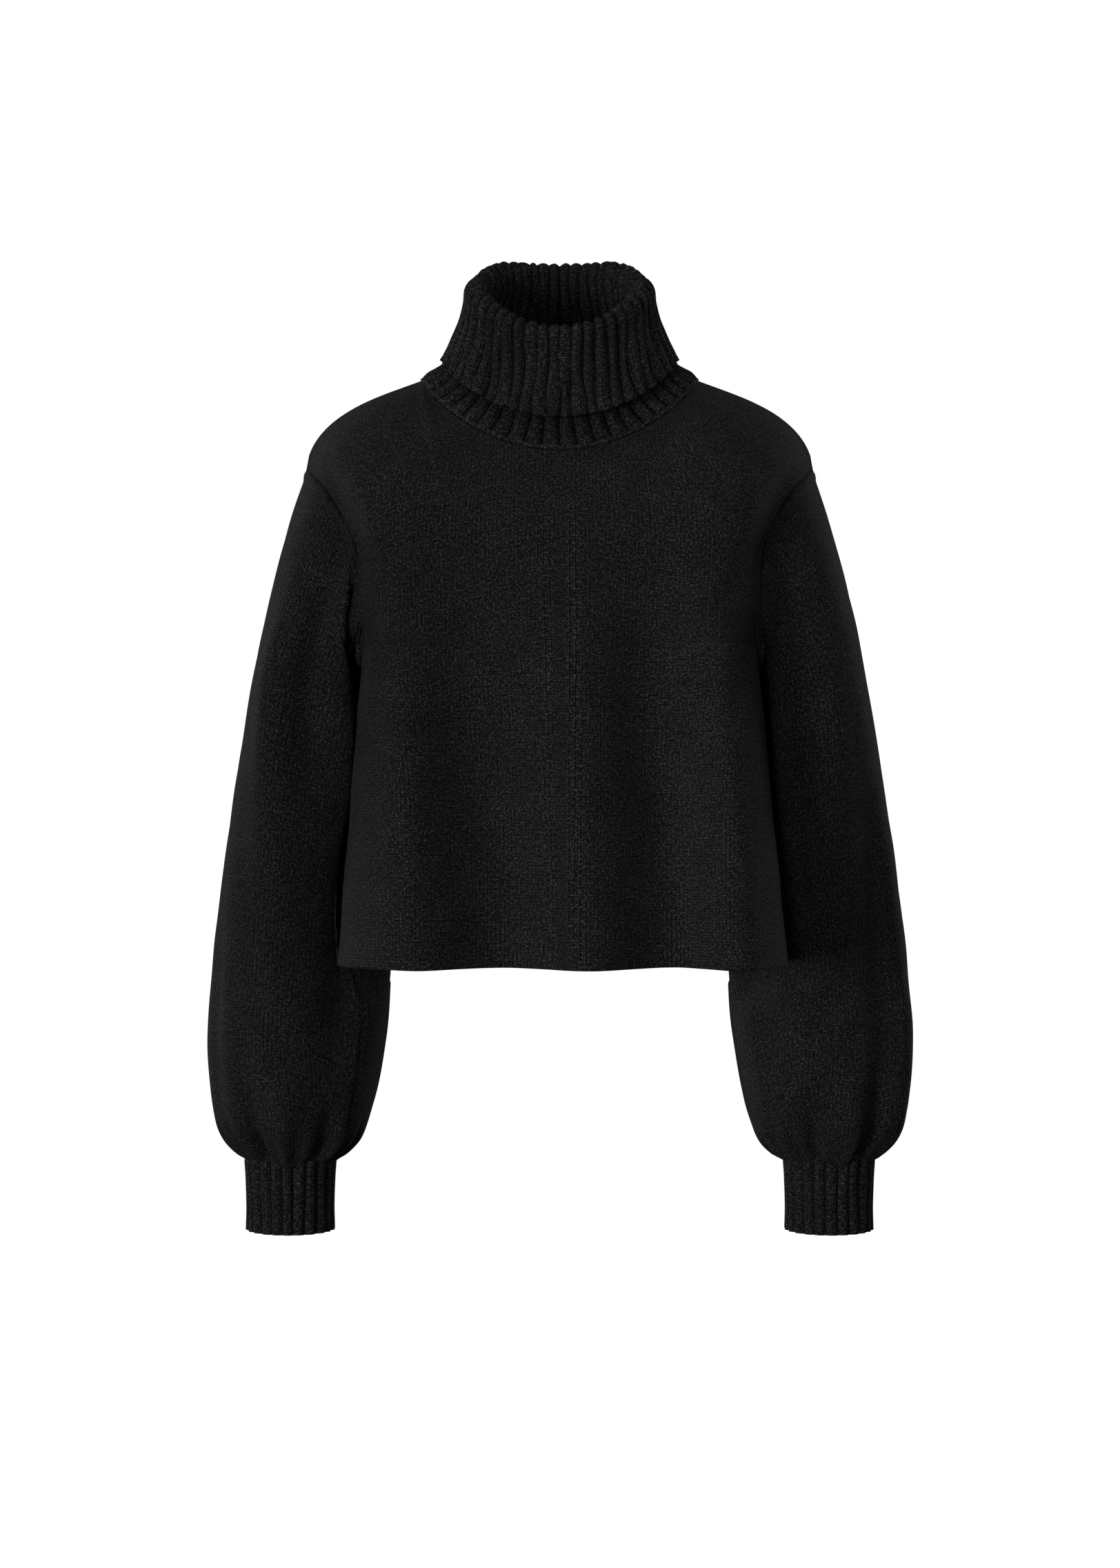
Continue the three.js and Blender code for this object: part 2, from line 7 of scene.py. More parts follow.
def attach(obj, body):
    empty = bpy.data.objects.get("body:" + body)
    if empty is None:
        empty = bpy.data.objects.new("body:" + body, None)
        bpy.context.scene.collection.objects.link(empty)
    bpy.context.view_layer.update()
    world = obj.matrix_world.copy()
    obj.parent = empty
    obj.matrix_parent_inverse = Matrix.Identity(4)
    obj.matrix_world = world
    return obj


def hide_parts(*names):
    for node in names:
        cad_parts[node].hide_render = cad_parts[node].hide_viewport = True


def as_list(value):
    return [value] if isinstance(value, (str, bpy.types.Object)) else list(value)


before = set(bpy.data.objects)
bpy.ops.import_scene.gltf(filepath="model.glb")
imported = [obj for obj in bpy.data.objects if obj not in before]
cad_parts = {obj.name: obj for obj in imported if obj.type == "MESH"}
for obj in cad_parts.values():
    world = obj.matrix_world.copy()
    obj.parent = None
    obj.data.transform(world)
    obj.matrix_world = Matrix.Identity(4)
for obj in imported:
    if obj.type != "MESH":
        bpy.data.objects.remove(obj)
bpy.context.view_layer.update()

# A black wool blend turtleneck, filled out as worn and hollow.
# Sizes are millimetres until a mesh is finished: x across, y front to back, z up from the neck point.
mm = 0.001


def mix(a, b, share):
    return a + (b - a) * share


def ease(value, low, high):
    share = min(max((value - low) / (high - low), 0.0), 1.0)
    return share * share * (3 - 2 * share)


def swell(distance, width):
    return exp(-(distance / width) ** 2)


def signedPower(value, power):
    return abs(value) ** power * (1 if value >= 0 else -1)


def drift(x, y, seed):
    # slow uneven wandering, about -1 to 1
    return 1.6 * noise.noise(Vector((x, y, seed)))


tableCache = {}


def readTable(rows, key, value):
    # every column of a table at one value of its key column, on a smooth curve through the rows
    mark = (id(rows), round(value, 3))
    if mark in tableCache:
        return tableCache[mark]
    last = len(rows) - 1
    value = min(max(value, rows[0][key]), rows[last][key])
    i = max(k for k in range(last) if rows[k][key] <= value)
    span = rows[i + 1][key] - rows[i][key]
    t = (value - rows[i][key]) / span
    result = {key: value}
    for name in rows[0]:
        if name == key or isinstance(rows[0][name], str):
            continue
        slopes = []
        for k in (i, i + 1):
            before, after = rows[max(k - 1, 0)], rows[min(k + 1, last)]
            slopes.append((after[name] - before[name]) / (after[key] - before[key]) * span)
        start = rows[i][name]
        rise = rows[i + 1][name] - start
        a, b = slopes
        result[name] = start + a * t + (3 * rise - 2 * a - b) * t * t + (a + b - 2 * rise) * t ** 3
    tableCache[mark] = result
    return result


def bezier(start, leave, arrive, end, t):
    s = 1 - t
    return start * s ** 3 + leave * (3 * s * s * t) + arrive * (3 * s * t * t) + end * t ** 3


def lineDepth(lines, x, z, stretch=1.0):
    # depth of soft ridges and troughs, each along a line from its top to its foot
    depth = 0
    for line in lines:
        alongX, alongZ = (line["x1"] - line["x0"]) * stretch, line["z1"] - line["z0"]
        offX, offZ = (x - line["x0"]) * stretch, z - line["z0"]
        length = hypot(alongX, alongZ)
        along = (offX * alongX + offZ * alongZ) / length ** 2
        if not -0.2 < along < 1.2:
            continue
        aside = (offX * alongZ - offZ * alongX) / length
        fade = ease(along, -0.2, 0.35) * (1 - ease(along, 0.75, 1.2))
        depth += line["depth"] * fade * swell(aside, line["width"])
    return depth


# sheets
def ribShare(i, across):
    # closer columns in the groove between two ribs
    perRib = len(ribPhases)
    return (i // perRib + ribPhases[i % perRib]) / (across // perRib)


def makeSheet(name, across, along, pointAt, look):
    # a flat grid of knitting, laid out over the garment's form; closed ones meet at their first column
    bm = bmesh.new()
    knit = bm.loops.layers.uv.new("knit")
    bmesh.ops.create_grid(bm, x_segments=across, y_segments=along, size=0.5, calc_uvs=True)
    places = {}
    for vert in bm.verts:
        places[round((vert.co.x + 0.5) * across), round((vert.co.y + 0.5) * along)] = vert
    for (i, j), vert in places.items():
        vert.co = pointAt(i, j)
    placeOf = {vert: place for place, vert in places.items()}
    lengthTo = {}
    for i in range(across + 1):
        lengthTo[i, 0] = 0
        for j in range(1, along + 1):
            lengthTo[i, j] = lengthTo[i, j - 1] + (places[i, j].co - places[i, j - 1].co).length
    widthTo = {}
    for j in range(along + 1):
        widthTo[0, j] = 0
        for i in range(1, across + 1):
            widthTo[i, j] = widthTo[i - 1, j] + (places[i, j].co - places[i - 1, j].co).length
    for face in bm.faces:
        corners = [placeOf[loop.vert] for loop in face.loops]
        pastSeam = min(i for i, j in corners) >= look["seamColumn"]
        for loop, (i, j) in zip(face.loops, corners):
            if look["wales"] == "ribs":
                u = ribShare(i, across) * look["flatWidth"]
            else:
                # plain wales run straight from the middle line, and stop at the seams
                k = min(j, look["gatherRow"])
                u = widthTo[i, k] - widthTo[look["middleColumn"], k] - (widthTo[across, k] if pastSeam else 0)
            loop[knit].uv = (u, lengthTo[i, j])
    if look["closed"]:
        bmesh.ops.weld_verts(bm, targetmap={places[across, j]: places[0, j] for j in range(along + 1)})
        for j in range(along + 1):
            places[across, j] = places[0, j]
    inner = [vert for vert in bm.verts if not vert.is_boundary]
    for _ in range(look["smoothing"]):
        bmesh.ops.smooth_vert(bm, verts=inner, factor=0.5, use_axis_x=True, use_axis_y=True, use_axis_z=True)
    bm.normal_update()
    if sum((vert.co - look["inside"](vert.co)).dot(vert.normal) for vert in bm.verts) < 0:
        bmesh.ops.reverse_faces(bm, faces=bm.faces)
        bm.normal_update()
    print("laid out", name, len(bm.faces), "faces")
    return bm, places


def raiseRelief(bm, places, reliefAt, keepClear=None):
    # moves each point along its own normal by a height in millimetres
    heights = {vert: reliefAt(i, j) for (i, j), vert in places.items()}
    moved = [(vert, vert.co + vert.normal * height) for vert, height in heights.items()]
    for vert, point in moved:
        vert.co = keepClear(point) if keepClear and not vert.is_boundary else point


def finishSheet(bm, places, name, material, look):
    free = {places[i, j] for i, j in places if j in look["freeRows"]}
    bm.verts.index_update()
    look["freePoints"] = [vert.index for vert in free]
    bmesh.ops.scale(bm, vec=(mm, mm, mm), verts=bm.verts)
    for face in bm.faces:
        face.smooth = True
    mesh = bpy.data.meshes.new(name)
    bm.to_mesh(mesh)
    bm.free()
    piece = bpy.data.objects.new(name, mesh)
    bpy.context.collection.objects.link(piece)
    mesh.materials.append(material)
    wall = piece.modifiers.new("wall", "SOLIDIFY")
    wall.thickness = look["thickness"] * mm
    wall.offset = look["offset"]
    wall.use_even_offset = False
    if look["freeRows"]:
        edge = piece.modifiers.new("edge", "BEVEL")
        edge.width = 0.9 * mm
        edge.segments = 2
        edge.limit_method = "VGROUP"
        edge.vertex_group = piece.vertex_groups.new(name="freeEdge").name
        piece.vertex_groups["freeEdge"].add(look["freePoints"], 1, "REPLACE")
    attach(piece, "root")
    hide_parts(look["node"])
    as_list(look["restsOn"])
    print("finished", name)
    return piece


# body panels
body = {
    "hem": -465,
    "underarm": -215,
    "chest": -140,
    "shoulderHalf": 202,
    "shoulderDrop": 73,
    "shoulderSlope": 35,
    "frontSquareness": 4,
    "backSquareness": 3,
    "chestTurn": 64,  # how far round the panel reaches at the chest, degrees
    "columns": 22,
    "shoulderColumns": 5,
    "across": 150,
    "hemRows": 84,
    "underarmRows": 26,
    "yokeRows": 52,
    "levels": [
        {"z": -465, "halfWidth": 177, "front": -135, "back": 95, "side": -20, "lean": 2.6},
        {"z": -414, "halfWidth": 172.6, "front": -132, "back": 94, "side": -18, "lean": 2},
        {"z": -350, "halfWidth": 167, "front": -128, "back": 92, "side": -15, "lean": 1.3},
        {"z": -280, "halfWidth": 161, "front": -126, "back": 94, "side": -11, "lean": 0.8},
        {"z": -215, "halfWidth": 156.5, "front": -125, "back": 98, "side": -6, "lean": 0.5},
        {"z": -140, "halfWidth": 167, "front": -122, "back": 102, "side": -4, "lean": 0},
    ],
    "yoke": [
        {"column": 0, "riseOut": 5, "riseAhead": 14, "rise": 22, "fallIn": 8, "fallAhead": 38, "fall": 3},
        {"column": 2.5, "riseOut": 4, "riseAhead": 7, "rise": 34, "fallIn": 1, "fallAhead": 50, "fall": 7},
        {"column": 5, "riseOut": 1, "riseAhead": 6, "rise": 40, "fallIn": 0, "fallAhead": 58, "fall": 13},
        {"column": 7, "riseOut": 0.4, "riseAhead": 1, "rise": 34, "fallIn": 0, "fallAhead": 31, "fall": 21},
        {"column": 11, "riseOut": 0, "riseAhead": -3, "rise": 28, "fallIn": 0, "fallAhead": 12, "fall": 26},
    ],
}
panelRows = body["hemRows"] + body["underarmRows"] + body["yokeRows"]
underarmRow = body["hemRows"]

# soft upright folds that deepen towards the hem: x at the top and at the hem, half width, depth,
# and the height where each starts
frontFolds = [
    {"top": -136, "foot": -115, "reach": 34, "depth": 21, "start": -60},
    {"top": -92, "foot": -48, "reach": 36, "depth": -20, "start": -60},
    {"top": 10, "foot": 20, "reach": 33, "depth": 20, "start": -70},
    {"top": 68, "foot": 82, "reach": 31, "depth": -21, "start": -80},
    {"top": 124, "foot": 136, "reach": 30, "depth": 23, "start": -50},
]
backFolds = [
    {"top": -104, "foot": -112, "reach": 28, "depth": 6, "start": -80},
    {"top": -50, "foot": -58, "reach": 36, "depth": -8, "start": -110},
    {"top": 12, "foot": 14, "reach": 36, "depth": 7, "start": -70},
    {"top": 72, "foot": 80, "reach": 32, "depth": -7, "start": -120},
]
foldsFull = -340
# short creases, from top to foot
frontCreases = [
    {"x0": -154, "z0": -136, "x1": -112, "z1": -212, "width": 9, "depth": -2.4},
    {"x0": -156, "z0": -178, "x1": -130, "z1": -262, "width": 8, "depth": -1.8},
    {"x0": 154, "z0": -134, "x1": 116, "z1": -205, "width": 9, "depth": -2.2},
    {"x0": 157, "z0": -184, "x1": 134, "z1": -275, "width": 9, "depth": -2},
    {"x0": -30, "z0": -330, "x1": -38, "z1": -470, "width": 12, "depth": -1.6},
    {"x0": 92, "z0": -350, "x1": 96, "z1": -470, "width": 12, "depth": -1.8},
    {"x0": -120, "z0": -300, "x1": -118, "z1": -450, "width": 13, "depth": 1.6},
    {"x0": -96, "z0": -84, "x1": 10, "z1": -112, "width": 14, "depth": -1.4},
    {"x0": 100, "z0": -82, "x1": 20, "z1": -116, "width": 13, "depth": -1.2},
]
backCreases = [
    {"x0": -150, "z0": -138, "x1": -104, "z1": -220, "width": 10, "depth": -2.4},
    {"x0": 150, "z0": -138, "x1": 108, "z1": -228, "width": 10, "depth": -2.6},
    {"x0": -20, "z0": -300, "x1": -26, "z1": -468, "width": 13, "depth": -1.8},
    {"x0": 120, "z0": -320, "x1": 124, "z1": -468, "width": 12, "depth": -1.8},
    {"x0": -80, "z0": -30, "x1": 0, "z1": -52, "width": 13, "depth": -1.2},
    {"x0": 84, "z0": -28, "x1": 14, "z1": -50, "width": 13, "depth": -1.2},
]


def foldDepth(folds, x, z):
    depth = 0
    for fold in folds:
        place = mix(fold["top"], fold["foot"], ease(fold["start"] - z, 0, fold["start"] - body["hem"]))
        growth = ease(fold["start"] - z, 0, fold["start"] - foldsFull)
        depth += fold["depth"] * growth * swell(x - place, fold["reach"])
    return depth


def bodyPoint(z, angle, facing):
    level = readTable(body["levels"], "z", z)
    power = 2 / (body["frontSquareness"] if facing < 0 else body["backSquareness"])
    deep = max(cos(angle), 0) ** power
    end = level["front"] if facing < 0 else level["back"]
    x = level["halfWidth"] * signedPower(sin(angle), power)
    fold = foldDepth(frontFolds if facing < 0 else backFolds, x, z) * ease(deep, 0, 0.45)
    return Vector((x + level["lean"], mix(level["side"], end, deep) + facing * fold, z))


def bodyReach(z, y):
    level = readTable(body["levels"], "z", min(z, body["underarm"]))
    inFront = y < level["side"]
    end = level["front"] if inFront else level["back"]
    squareness = body["frontSquareness"] if inFront else body["backSquareness"]
    share = min(abs((y - level["side"]) / (end - level["side"])), 1)
    return level["halfWidth"] * (1 - share ** squareness) ** (1 / squareness)


sectionSize = {"halfWidth": 167, "depth": 112, "steps": 180}


def evenTurns(squareness):
    # distance round a panel's section against its angle, for evenly spaced columns
    power = 2 / squareness
    steps = sectionSize["steps"]
    turns = [(0.0, 0.0)]
    last = (0.0, 1.0)
    for step in range(1, steps + 1):
        angle = pi / 2 * step / steps
        point = (sin(angle) ** power, max(cos(angle), 0) ** power)
        across = (point[0] - last[0]) * sectionSize["halfWidth"]
        deep = (point[1] - last[1]) * sectionSize["depth"]
        turns.append((angle, turns[-1][1] + hypot(across, deep)))
        last = point
    return turns


sectionTurns = {-1: evenTurns(body["frontSquareness"]), 1: evenTurns(body["backSquareness"])}


def lookAlong(pairs, value, key, wanted):
    # straight reading between pairs that rise together
    for before, after in zip(pairs, pairs[1:]):
        if value <= after[key]:
            share = (value - before[key]) / (after[key] - before[key])
            return mix(before[wanted], after[wanted], share)
    return pairs[-1][wanted]


def turnAt(spread, reach, facing):
    pairs = sectionTurns[facing]
    whole = lookAlong(pairs, reach, 0, 1)
    return (1 if spread >= 0 else -1) * lookAlong(pairs, abs(spread) * whole, 1, 0)


neckSeam = {
    "halfWidth": 110, "front": -92, "back": 72,
    "frontZ": -65, "sideZ": -3, "backZ": 13,
    "bow": 1.6, "level": 0,
}


def tiltedRing(ring, turn):
    # turn is 0 at the wearer's right, a quarter at the front, a half at the left
    angle = pi * (1 + 2 * turn)
    deep = sin(angle)
    facing = abs(deep)
    middle = (ring["front"] + ring["back"]) / 2 + 2
    rise = facing ** ring["bow"]
    if deep > 0:
        rise = mix(rise, ease(facing, 0, 0.85), ring["level"])  # a level back edge drops only at its ends
    return Vector((
        ring["halfWidth"] * cos(angle),
        mix(middle, ring["front"] if deep < 0 else ring["back"], facing),
        mix(ring["sideZ"], ring["frontZ"] if deep < 0 else ring["backZ"], rise),
    ))


def topPoint(column, facing):
    # shoulder, neck scoop, shoulder
    fromEdge = min(column, body["columns"] - column)
    side = -1 if column < body["columns"] / 2 else 1
    start = body["shoulderColumns"]
    if fromEdge >= start:
        half = (column - start) / (body["columns"] - 2 * start) / 2
        return tiltedRing(neckSeam, half if facing < 0 else 1 - half)
    share = ((start - fromEdge) / start) ** 0.8
    slope = body["shoulderSlope"]
    drop = slope * share + (body["shoulderDrop"] - slope) * (1 - sqrt(max(1 - share ** 4, 0)))
    neck = tiltedRing(neckSeam, 0)
    x = mix(neckSeam["halfWidth"], body["shoulderHalf"], share)
    return Vector((side * x, mix(neck.y, -2, share), neck.z + 2 * share - drop))


def panelPoint(column, row, facing):
    spread = 2 * column / body["columns"] - 1
    if row < underarmRow:
        z = mix(body["hem"], body["underarm"], row / underarmRow)
        return bodyPoint(z, turnAt(spread, pi / 2, facing), facing)
    share = min((row - underarmRow) / body["underarmRows"], 1)
    edge = abs(spread) ** 6
    rise = mix(share, 1 - cos(share * pi / 2), edge)
    turn = mix(share, sin(share * pi / 2), edge)
    reach = mix(pi / 2, radians(body["chestTurn"]), turn)
    chest = bodyPoint(mix(body["underarm"], body["chest"], rise), turnAt(spread, reach, facing), facing)
    if share < 1:
        return chest
    side = 1 if spread > 0 else -1
    line = readTable(body["yoke"], "column", min(column, body["columns"] - column))
    top = topPoint(column, facing)
    leave = chest + Vector((side * line["riseOut"], facing * line["riseAhead"], line["rise"]))
    arrive = top + Vector((-side * line["fallIn"], facing * line["fallAhead"], -line["fall"]))
    upward = (row - underarmRow - body["underarmRows"]) / body["yokeRows"]
    return bezier(chest, leave, arrive, top, upward)


seam = {"lip": 1.5, "lipAt": 4.2, "lipWidth": 2.6, "setBack": 20, "setBackReach": 21, "valley": 7}


def seamRelief(distance):
    # the cloth rises beside a seam, and its very edge stays put so that the two sides meet
    atEdge = swell(seam["lipAt"], seam["lipWidth"])
    return seam["lip"] * (swell(distance - seam["lipAt"], seam["lipWidth"]) - atEdge)


def setBack(point, edgePoint, facing):
    # the armhole seam lies in a valley between the body and the sleeve, deepest in its lower half
    depth = ease(-edgePoint.z, 80, 115) * (1 - ease(-edgePoint.z, 140, 200)) * seam["setBack"]
    near = 1 - ease((point - edgePoint).length, 0, seam["setBackReach"])
    return point + Vector((0, -facing * depth * near, 0))


def makePanel(name, facing, material):
    look = {
        "node": name,
        "slot": "stockinette",
        "closed": False,
        "smoothing": 26,
        "thickness": 3,
        "offset": -1,
        "freeRows": [0],
        "wales": "plain",
        "middleColumn": body["across"] // 2,
        "seamColumn": body["across"],
        "gatherRow": panelRows,
        "inside": lambda point: Vector((point.x * 0.6, -12, min(point.z, -90) - 10)),
        "flat": (0.49, 0.5),
        "area": 0.205,
        "restsOn": [],
    }
    across = body["across"]
    columnStep = body["columns"] / across
    edgePoints = {(j, edge): panelPoint(edge * columnStep, j, facing)
                  for j in range(underarmRow, panelRows + 1) for edge in (0, across)}

    def pointAt(i, j):
        point = panelPoint(i * columnStep, j, facing)
        if j < underarmRow:
            return point
        return setBack(point, edgePoints[j, 0 if 2 * i < across else across], facing)

    bm, places = makeSheet(name, across, panelRows, pointAt, look)
    creases = frontCreases if facing < 0 else backCreases
    points = {place: vert.co.copy() for place, vert in places.items()}

    def relief(i, j):
        point = points[i, j]
        height = lineDepth(creases, point.x, point.z) + 0.5 * drift(point.x / 38, point.z / 44, facing * 3)
        fromEdge = min((point - points[edge, j]).length for edge in (0, across))
        fromTop = (point - points[i, panelRows]).length
        height *= ease(fromEdge, 0, 9) * ease(fromTop, 0, 9)
        onShoulder = min(i, across - i) * columnStep < body["shoulderColumns"]
        height += seamRelief(fromTop) * (0.5 if onShoulder else 0.8)
        if j >= underarmRow:
            height += seamRelief(fromEdge) * ease(j - underarmRow, 0, 14)
        return height

    raiseRelief(bm, places, relief)
    return finishSheet(bm, places, name + "Panel", material, look)


# sleeves
sleeve = {
    "hem": -634,
    "squareness": 2.15,
    "clearance": 3,
    "capRows": 60,
    "lowerRows": 130,
    "leaveOut": 8,
    "leaveOutTop": 12,
    "leavePull": 0.3,
    "arrivePull": 0.34,
    "gatherLength": 50,
    "gatherDepth": 1.9,
    "gathers": 17,
    "fineGathers": 11,
    "valley": 9,  # how deep the sleeve turns in beside the body
    "seamAngle": 141,  # underarm seam, degrees from the outer edge round the front
    "levels": [
        {"z": -634, "outer": 255.5, "inner": 185.8, "front": 61.5, "back": 122.5},
        {"z": -629, "outer": 260, "inner": 180.5, "front": 58, "back": 126},
        {"z": -619, "outer": 272.5, "inner": 167.5, "front": 52, "back": 132},
        {"z": -603, "outer": 282, "inner": 160, "front": 43, "back": 141},
        {"z": -575, "outer": 287.2, "inner": 152, "front": 37, "back": 145},
        {"z": -530, "outer": 289.6, "inner": 144, "front": 32, "back": 146},
        {"z": -473, "outer": 285, "inner": 138, "front": 25, "back": 140},
        {"z": -440, "outer": 281, "inner": 137.5, "front": 13, "back": 132},
        {"z": -393, "outer": 273.5, "inner": 139, "front": -4, "back": 118},
        {"z": -350, "outer": 266, "inner": 142, "front": -18, "back": 106},
        {"z": -303, "outer": 258, "inner": 147, "front": -31, "back": 94},
        {"z": -250, "outer": 248, "inner": 152, "front": -43, "back": 82},
    ],
}
sleeveTop = sleeve["levels"][-1]["z"]
# folds as lines: x is the angle from the outer edge round the front, in degrees
rightSleeveFolds = [
    {"x0": 116, "z0": -90, "x1": 132, "z1": -330, "width": 15, "depth": 8.5},
    {"x0": 88, "z0": -110, "x1": 94, "z1": -330, "width": 14, "depth": -6.5},
    {"x0": 50, "z0": -200, "x1": 74, "z1": -400, "width": 19, "depth": 8.5},
    {"x0": 74, "z0": -380, "x1": 84, "z1": -600, "width": 22, "depth": 8.5},
    {"x0": 126, "z0": -370, "x1": 120, "z1": -560, "width": 18, "depth": -8.5},
    {"x0": 62, "z0": -556, "x1": 68, "z1": -640, "width": 8, "depth": -7},
    {"x0": 88, "z0": -570, "x1": 92, "z1": -640, "width": 9, "depth": 5},
    {"x0": 122, "z0": -584, "x1": 116, "z1": -636, "width": 8, "depth": -4},
    {"x0": 20, "z0": -420, "x1": 30, "z1": -620, "width": 14, "depth": -4},
    {"x0": 215, "z0": -260, "x1": 222, "z1": -580, "width": 20, "depth": -7},
    {"x0": 285, "z0": -180, "x1": 280, "z1": -540, "width": 18, "depth": 7},
    {"x0": 252, "z0": -330, "x1": 246, "z1": -620, "width": 13, "depth": 4.5},
    {"x0": 318, "z0": -420, "x1": 312, "z1": -630, "width": 13, "depth": -4.5},
    {"x0": 190, "z0": -480, "x1": 196, "z1": -634, "width": 11, "depth": 3.5},
]
leftSleeveFolds = [
    {"x0": 128, "z0": -90, "x1": 132, "z1": -240, "width": 12, "depth": 7},
    {"x0": 96, "z0": -100, "x1": 104, "z1": -250, "width": 13, "depth": -5.5},
    {"x0": 78, "z0": -230, "x1": 92, "z1": -470, "width": 20, "depth": 8.5},
    {"x0": 96, "z0": -440, "x1": 116, "z1": -600, "width": 18, "depth": 7},
    {"x0": 44, "z0": -330, "x1": 50, "z1": -560, "width": 16, "depth": -7},
    {"x0": 54, "z0": -550, "x1": 58, "z1": -640, "width": 9, "depth": -8.5},
    {"x0": 80, "z0": -560, "x1": 78, "z1": -640, "width": 10, "depth": 5.5},
    {"x0": 24, "z0": -480, "x1": 30, "z1": -630, "width": 14, "depth": 4},
    {"x0": 106, "z0": -580, "x1": 102, "z1": -636, "width": 8, "depth": -5.5},
    {"x0": 222, "z0": -240, "x1": 214, "z1": -560, "width": 20, "depth": -7},
    {"x0": 290, "z0": -200, "x1": 284, "z1": -560, "width": 18, "depth": 7},
    {"x0": 250, "z0": -360, "x1": 256, "z1": -620, "width": 13, "depth": 4.5},
    {"x0": 322, "z0": -400, "x1": 316, "z1": -630, "width": 13, "depth": -4.5},
    {"x0": 188, "z0": -470, "x1": 192, "z1": -634, "width": 11, "depth": 3.5},
]


def clearOfBody(point, side, clearance):
    # beside the body the sleeve stays outside it; below the hem and above the underarm it is free
    z = max(point.z, body["hem"])
    lean = readTable(body["levels"], "z", z)["lean"] * side
    least = bodyReach(z, point.y) + lean + clearance
    away = side * point.x
    belowHem = ease(body["hem"] - 8 - point.z, 0, 40)
    free = max(belowHem, ease(point.z, body["underarm"] - 70, body["underarm"] - 5))
    if away < least:
        point.x = side * mix(least, away, free)
    return point


def sleevePoint(z, angle, side):
    level = readTable(sleeve["levels"], "z", z)
    power = 2 / sleeve["squareness"]
    outward, forward = signedPower(cos(angle), power), signedPower(sin(angle), power)
    x = (level["outer"] + level["inner"]) / 2 + (level["outer"] - level["inner"]) / 2 * outward
    y = (level["front"] + level["back"]) / 2 - (level["back"] - level["front"]) / 2 * forward
    return clearOfBody(Vector((side * x, y, z)), side, sleeve["clearance"])


def makeSleeve(name, side, material):
    armholeRows = body["underarmRows"] + body["yokeRows"]
    around = 2 * armholeRows
    rows = sleeve["capRows"] + sleeve["lowerRows"]
    edge = 0 if side < 0 else body["columns"]
    armhole = {}
    capEnd = {}
    for i in range(around + 1):
        facing = -1 if i <= armholeRows else 1
        row = panelRows - i if i <= armholeRows else underarmRow + i - armholeRows
        armhole[i] = panelPoint(edge, row, facing)
        armhole[i] = setBack(armhole[i], armhole[i], facing)
        angle = 2 * pi * i / around
        end = sleevePoint(sleeveTop, angle, side)
        capEnd[i] = (end, end - sleevePoint(sleeveTop - 4, angle, side))

    def pointAt(i, j):
        angle = 2 * pi * i / around
        if j > sleeve["capRows"]:
            share = (j - sleeve["capRows"]) / sleeve["lowerRows"]
            share = mix(share, 1 - (1 - share) ** 2, 0.35)  # closer rows towards the cuff
            return sleevePoint(mix(sleeveTop, sleeve["hem"], share), angle, side)
        share = j / sleeve["capRows"]
        start = armhole[i]
        end, upward = capEnd[i]
        length = (end - start).length
        outward = max(cos(angle), -0.25)
        leave = start + Vector((side * (sleeve["leaveOut"] + sleeve["leaveOutTop"] * outward), 0,
                                -sleeve["leavePull"] * length))
        arrive = end + upward.normalized() * sleeve["arrivePull"] * length
        point = bezier(start, leave, arrive, end, share)
        return clearOfBody(point, side, mix(0.3, sleeve["clearance"], share))

    look = {
        "node": name,
        "slot": "stockinette",
        "closed": True,
        "smoothing": 14,
        "thickness": 3,
        "offset": -1,
        "freeRows": [],
        "wales": "plain",
        "middleColumn": 0,
        "seamColumn": round(sleeve["seamAngle"] / 360 * around),
        "gatherRow": rows - 26,
        "inside": lambda point: Vector((side * 205, mix(5, 90, ease(-point.z, 150, 480)), point.z)),
        "flat": (0.42, 0.59),
        "area": 0.205,
        "restsOn": [],
    }
    bm, places = makeSheet(name, around, rows, pointAt, look)
    folds = rightSleeveFolds if side < 0 else leftSleeveFolds
    points = {place: vert.co.copy() for place, vert in places.items()}

    def relief(i, j):
        point = points[i, j]
        angle = 360 * i / around
        height = sum(lineDepth(folds, angle + turn, point.z, stretch=1.05) for turn in (-360, 0, 360))
        nearBody = 1 - ease(abs(angle - 180), 22, 46) if point.z > body["hem"] - 20 else 0
        height *= 1 - nearBody
        valley = swell(angle - 148, 11) + 0.8 * swell(angle - 216, 12)
        height -= sleeve["valley"] * valley * ease(-point.z, 110, 160) * ease(point.z, -430, -300)
        height *= ease(j, 2, 18)
        fromHem = point.z - sleeve["hem"]
        gather = sin(radians(angle) * sleeve["gathers"] + 2 * drift(angle / 40, 0, side))
        gather += 0.6 * sin(radians(angle) * sleeve["fineGathers"] + side)
        fade = (1 - ease(fromHem, 4, sleeve["gatherLength"])) * ease(fromHem, 0, 9)
        height += sleeve["gatherDepth"] * gather * fade
        height += 0.5 * drift(angle / 32, point.z / 44, 7 * side)
        fromArmhole = (point - points[i, 0]).length
        fromTop = min(angle, 360 - angle)
        beside = ease(fromTop, 55, 95) * (1 - ease(fromTop, 150, 174))
        height -= seam["valley"] * swell(fromArmhole - 15, 14) * beside
        height *= 1 - swell(angle - 180, 60) * (1 - ease(fromArmhole, 12, 50))
        height = height * ease(fromArmhole, 0, 9) + seamRelief(fromArmhole) * (1 - swell(angle - 180, 45))
        fromSeam = (angle - sleeve["seamAngle"]) * 1.1
        height += 0.8 * (swell(fromSeam, 5) - 2.2 * swell(fromSeam, 1.7)) * ease(j, 4, 14)
        return height

    raiseRelief(bm, places, relief, lambda point: clearOfBody(point, side, 1))
    return finishSheet(bm, places, name + "Tube", material, look)


